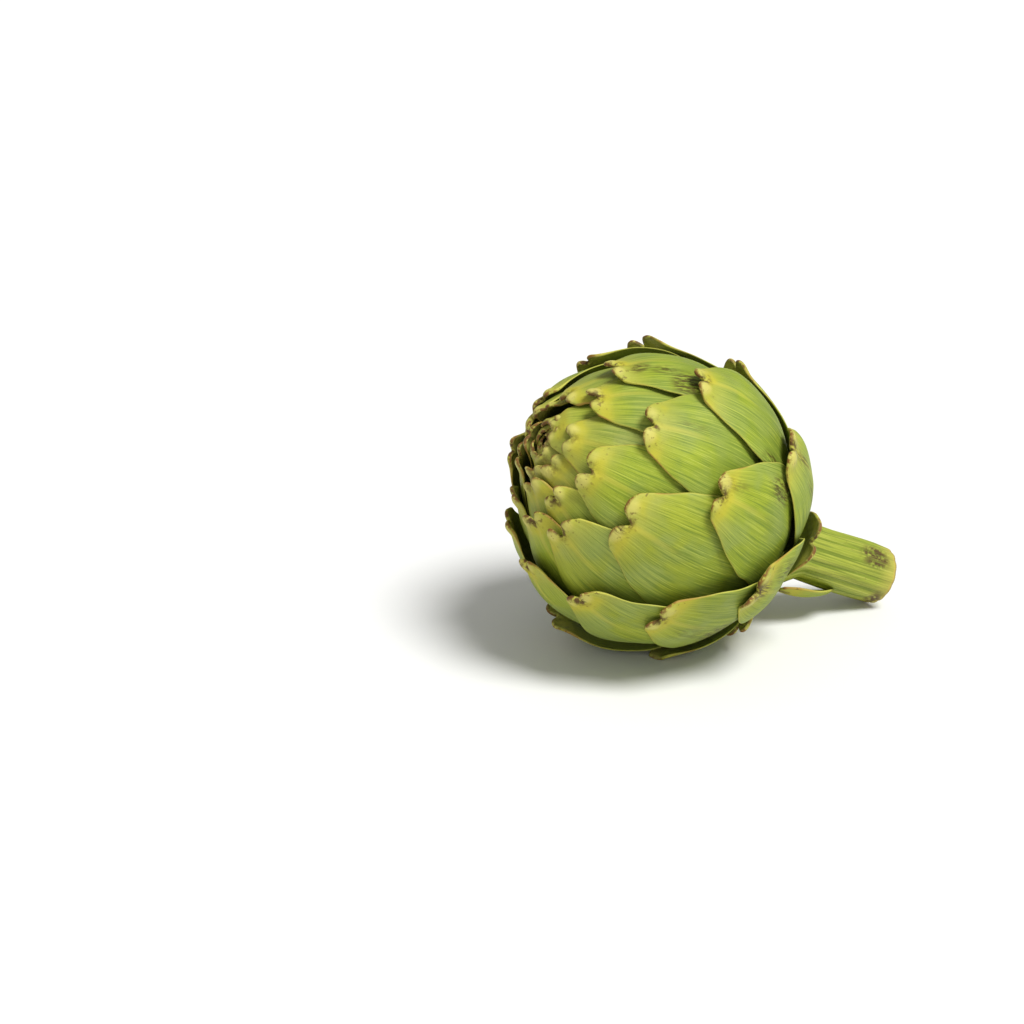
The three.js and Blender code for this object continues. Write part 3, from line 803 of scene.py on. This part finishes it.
def make_stem(skin):
    """The ring's radius rises and falls as a narrow-grooved cosine for each rib, with finer ribs between
    and a slow unevenness; past the cut the rings round over its rim and close on the pith."""
    centres, axes, radii, ribs = stem_path()
    length = np.concatenate([[0], np.cumsum(np.linalg.norm(np.diff(centres, axis=0), axis=1))])
    ends = np.zeros(len(CUT_REACH))
    along = np.concatenate([length[-1] - length, ends])[:, None]
    cut = np.concatenate([np.zeros(len(length)), CUT_FACE])[:, None]
    reach = np.concatenate([np.ones(len(length)), CUT_REACH])[:, None]
    centres = np.concatenate([centres, centres[-1] + CUT_RISE[:, None] * axes[-1]])
    axes = np.concatenate([axes, np.repeat(axes[-1:], len(ends), axis=0)])
    radii = np.concatenate([radii, radii[-1] * CUT_REACH])[:, None]
    ribs = np.concatenate([ribs, CUT_REACH])[:, None]

    angle = np.linspace(0, 2 * math.pi, STEM_SIDES, endpoint=False)[None, :]
    wander = 0.05 * np.sin(along / 11 + 1.0)
    ridge = (0.5 + 0.5 * np.cos(STEM_RIBS * (angle + wander))) ** RIB_POWER
    own = 1 + RIB_VARIES * np.cos(3 * angle + 0.7) * np.sin(5 * angle + 2)
    fine = FINE_RIB_HEIGHT * np.cos(5 * STEM_RIBS * angle + 0.6 * np.sin(along / 9))
    height = (RIB_HEIGHT * own * (2 * ridge - 1) + fine) * np.clip(0.45 + along / RIBS_LEVEL_OFF, 0, 1)
    uneven = 0.16 * np.sin(along / 8 + 2 * angle) + 0.1 * np.sin(along / 5 - 3 * angle)
    radius = radii + ribs * (height + uneven)
    shape = radius.shape
    rings = around_stem(centres[:, None, :], np.broadcast_to(axes[:, None, :], shape + (3,)),
                        np.broadcast_to(angle, shape), radius)
    rings[..., 2] = np.maximum(0, rings[..., 2])

    upper_bruise = bell(along - 9, 6) * bell(turned(angle, 0.75), 0.4)
    lower_bruise = 0.8 * bell(along - 3, 3) * bell(turned(angle, 2.4), 0.5)
    attributes = {
        "ridge": on_rings(ridge, shape, [0.5, 0.5]),
        "along": on_rings(along, shape, [length[-1], 0]),
        "cut": on_rings(cut, shape, [0, 1]),
        "reach": on_rings(reach, shape, [1, 0]),
        "scuff": on_rings(np.maximum(upper_bruise, lower_bruise), shape, [0, 0]),
    }
    around = STEM_RADIUS * np.minimum(angle, 2 * math.pi - angle)
    fibre_map = np.stack([on_rings(around / MAP_UNIT, shape, [0, 0]),
                          on_rings(along / MAP_UNIT, shape, [0, 0])], axis=-1)
    stem = make_piece("stem_skin", skin, *closed_rings(rings), attributes, fibre_map)
    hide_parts("stem")


def make_stem_leaf(skin):
    """A small leaf: rows run from its tip to its root along the stem's underside, columns across it; it
    rises off the stem as a quarter sine, is widest past its middle and dips back to the stem at its root."""
    axis = unit(STEM_END - STEM_BEND_END)
    root = STEM_BEND_END + LEAF_ROOT * axis
    rows, columns = LEAF_GRID
    fraction = np.linspace(0, 1, rows)[:, None]
    across = np.broadcast_to(np.sin(np.linspace(1, -1, columns) * math.pi / 2)[None, :], LEAF_GRID)
    along = LEAF_LENGTH * (1 - fraction)
    width = LEAF_HALF_WIDTH * np.sin(math.pi * (0.10 + 0.70 * (1 - fraction) ** 0.8))
    risen = np.minimum(1, along / (LEAF_RISEN_AT * LEAF_LENGTH))
    rise = STEM_RADIUS + RIB_HEIGHT + GAP + LEAF_RISE * np.sin(risen * math.pi / 2)
    margin = (1 - np.abs(across)) * width
    thickness = LEAF_THICKNESS * (1 - LEAF_THINNING * across ** 2)
    middle = rise + thickness / 2 + LEAF_RIPPLE * np.sin(along / 2.4 + 2 * across) * np.abs(across)
    middle = middle - LEAF_ROOT_DIP * np.exp(-along / 3)
    ends = rounded(LEAF_LENGTH - along, LEAF_ROUND) * rounded(along, LEAF_ROUND)
    half = thickness / 2 * rounded(margin, LEAF_MARGIN_ROUND) * ends
    angle = LEAF_ANGLE + across * width / rise
    centre = root - along[..., None] * axis
    axes = np.broadcast_to(axis, LEAF_GRID + (3,))
    outer = around_stem(centre, axes, angle, middle + half)
    inner = around_stem(centre, axes, angle, middle - half)
    points, faces, used = closed_sheet(outer, inner)

    down = fraction * LEAF_LENGTH
    values = {"down": down, "side": across * width, "margin": margin, "tone": LEAF_TONE,
              "scuff": 0.9 * bell(along, 2.5), "lobe": 0.0}
    attributes = {key: on_sheet(used, LEAF_GRID, value) for key, value in values.items()}
    attributes["inside"] = on_sheet(used, LEAF_GRID, 0.0, 1.0)
    fibre_map = np.stack([on_sheet(used, LEAF_GRID, across * LEAF_MAP_HALF_WIDTH),
                          on_sheet(used, LEAF_GRID, down / MAP_UNIT)], axis=-1)
    leaf = make_piece("stem_leaf_skin", skin, points, faces, attributes, fibre_map)
    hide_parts("stem_leaf")


outer_skin = bract_material("artichoke_bract_skin", "#6b7f1c", "#94a22b", "#88964a", "#b5b042", 1.0)
young_skin = bract_material("artichoke_young_bract_skin", "#6f7f22", "#96a134", "#8d9548", "#adaa46", 0.5)
make_free_bracts(outer_skin)
make_bud_bracts(young_skin)
make_bud_core(heart_painted_shade_material())
make_stem(stem_material())
make_stem_leaf(outer_skin)


# ---- floor, light and camera ----

FOCAL_PIXELS = 2986
PICTURE_WIDTH = 1024
SENSOR_WIDTH = 36
VIEW_DISTANCE = 1.0
VIEW_AZIMUTH = degrees(-25.6)
VIEW_ELEVATION = degrees(21.6)
AIM_AZIMUTH = degrees(-22.589)
AIM_ELEVATION = degrees(21.890)
VIEW_POINT = Vector((-19.3, -0.6, 51.6)) * MM
TABLE_REACH = 4.0
TABLE_LEVEL = -0.0001
KEY_TOWARDS = (0.3, -0.5, 1.0)
KEY_STRENGTH = 3.65
KEY_SOFTNESS = degrees(24)
FILL_PLACE = (-0.9, -1.3, 0.5)
FILL_AIM = (0, 0, 0.05)
FILL_WATTS = 2.8
FILL_SIZE = 1.2
ROOM_LIGHT = 0.39


def view_axes(azimuth, elevation):
    """A level camera's right, up and backward directions, as a matrix's columns."""
    back = Vector((math.sin(azimuth) * math.cos(elevation), -math.cos(azimuth) * math.cos(elevation),
                   math.sin(elevation)))
    right = Vector((math.cos(azimuth), math.sin(azimuth), 0))
    return Matrix((right, back.cross(right), back)).transposed()


def make_camera():
    """A camera a metre from the view point, aimed beside it, so that the head stands right of the middle."""
    data = bpy.data.cameras.new("view")
    data.sensor_width = SENSOR_WIDTH
    data.lens = FOCAL_PIXELS * SENSOR_WIDTH / PICTURE_WIDTH
    camera = add_to_scene("view", data)
    back = view_axes(VIEW_AZIMUTH, VIEW_ELEVATION).col[2]
    place = VIEW_POINT + VIEW_DISTANCE * back
    camera.matrix_world = Matrix.Translation(place) @ view_axes(AIM_AZIMUTH, AIM_ELEVATION).to_4x4()
    bpy.context.scene.camera = camera


def make_table():
    """A pale matt table top, just below the part so that their faces don't lie in one plane."""
    material, tree = new_material("pale_table")
    shader = add(tree, "ShaderNodeBsdfPrincipled", {"Base Color": colour("#e4e4e2"), "Roughness": 0.7})
    add(tree, "ShaderNodeOutputMaterial", {"Surface": shader})
    mesh = bpy.data.meshes.new("floor")
    ways = ((-1, -1), (1, -1), (1, 1), (-1, 1))
    corners = [(x * TABLE_REACH, y * TABLE_REACH, TABLE_LEVEL) for x, y in ways]
    mesh.from_pydata(corners, [], [(0, 1, 2, 3)])
    mesh.materials.append(material)
    add_to_scene("floor", mesh)


def make_key():
    """The main light, a soft sun from above on the right."""
    data = bpy.data.lights.new("key", "SUN")
    data.energy = KEY_STRENGTH
    data.angle = KEY_SOFTNESS
    add_to_scene("key", data).rotation_euler = Vector(KEY_TOWARDS).to_track_quat("Z", "Y").to_euler()


def make_fill():
    """A weak round panel, low on the left."""
    data = bpy.data.lights.new("fill", "AREA")
    data.shape = "DISK"
    data.energy = FILL_WATTS
    data.size = FILL_SIZE
    fill = add_to_scene("fill", data)
    fill.location = FILL_PLACE
    fill.rotation_euler = (Vector(FILL_AIM) - fill.location).to_track_quat("-Z", "Y").to_euler()


def make_room():
    """A white room that lights softly, and is itself seen at full strength, as pale as the table."""
    world = bpy.data.worlds.new("soft_white")
    bpy.context.scene.world = world
    world.use_nodes = True
    tree = world.node_tree
    tree.nodes.clear()
    seen = add(tree, "ShaderNodeLightPath", output="Is Camera Ray")
    level = add(tree, "ShaderNodeMapRange", {0: seen, 3: ROOM_LIGHT, 4: 1.0})
    room = add(tree, "ShaderNodeBackground", {"Color": colour("#ffffff"), "Strength": level})
    add(tree, "ShaderNodeOutputWorld", {"Surface": room})


make_camera()
make_table()
make_key()
make_fill()
make_room()
bpy.context.scene.view_settings.view_transform = "Standard"
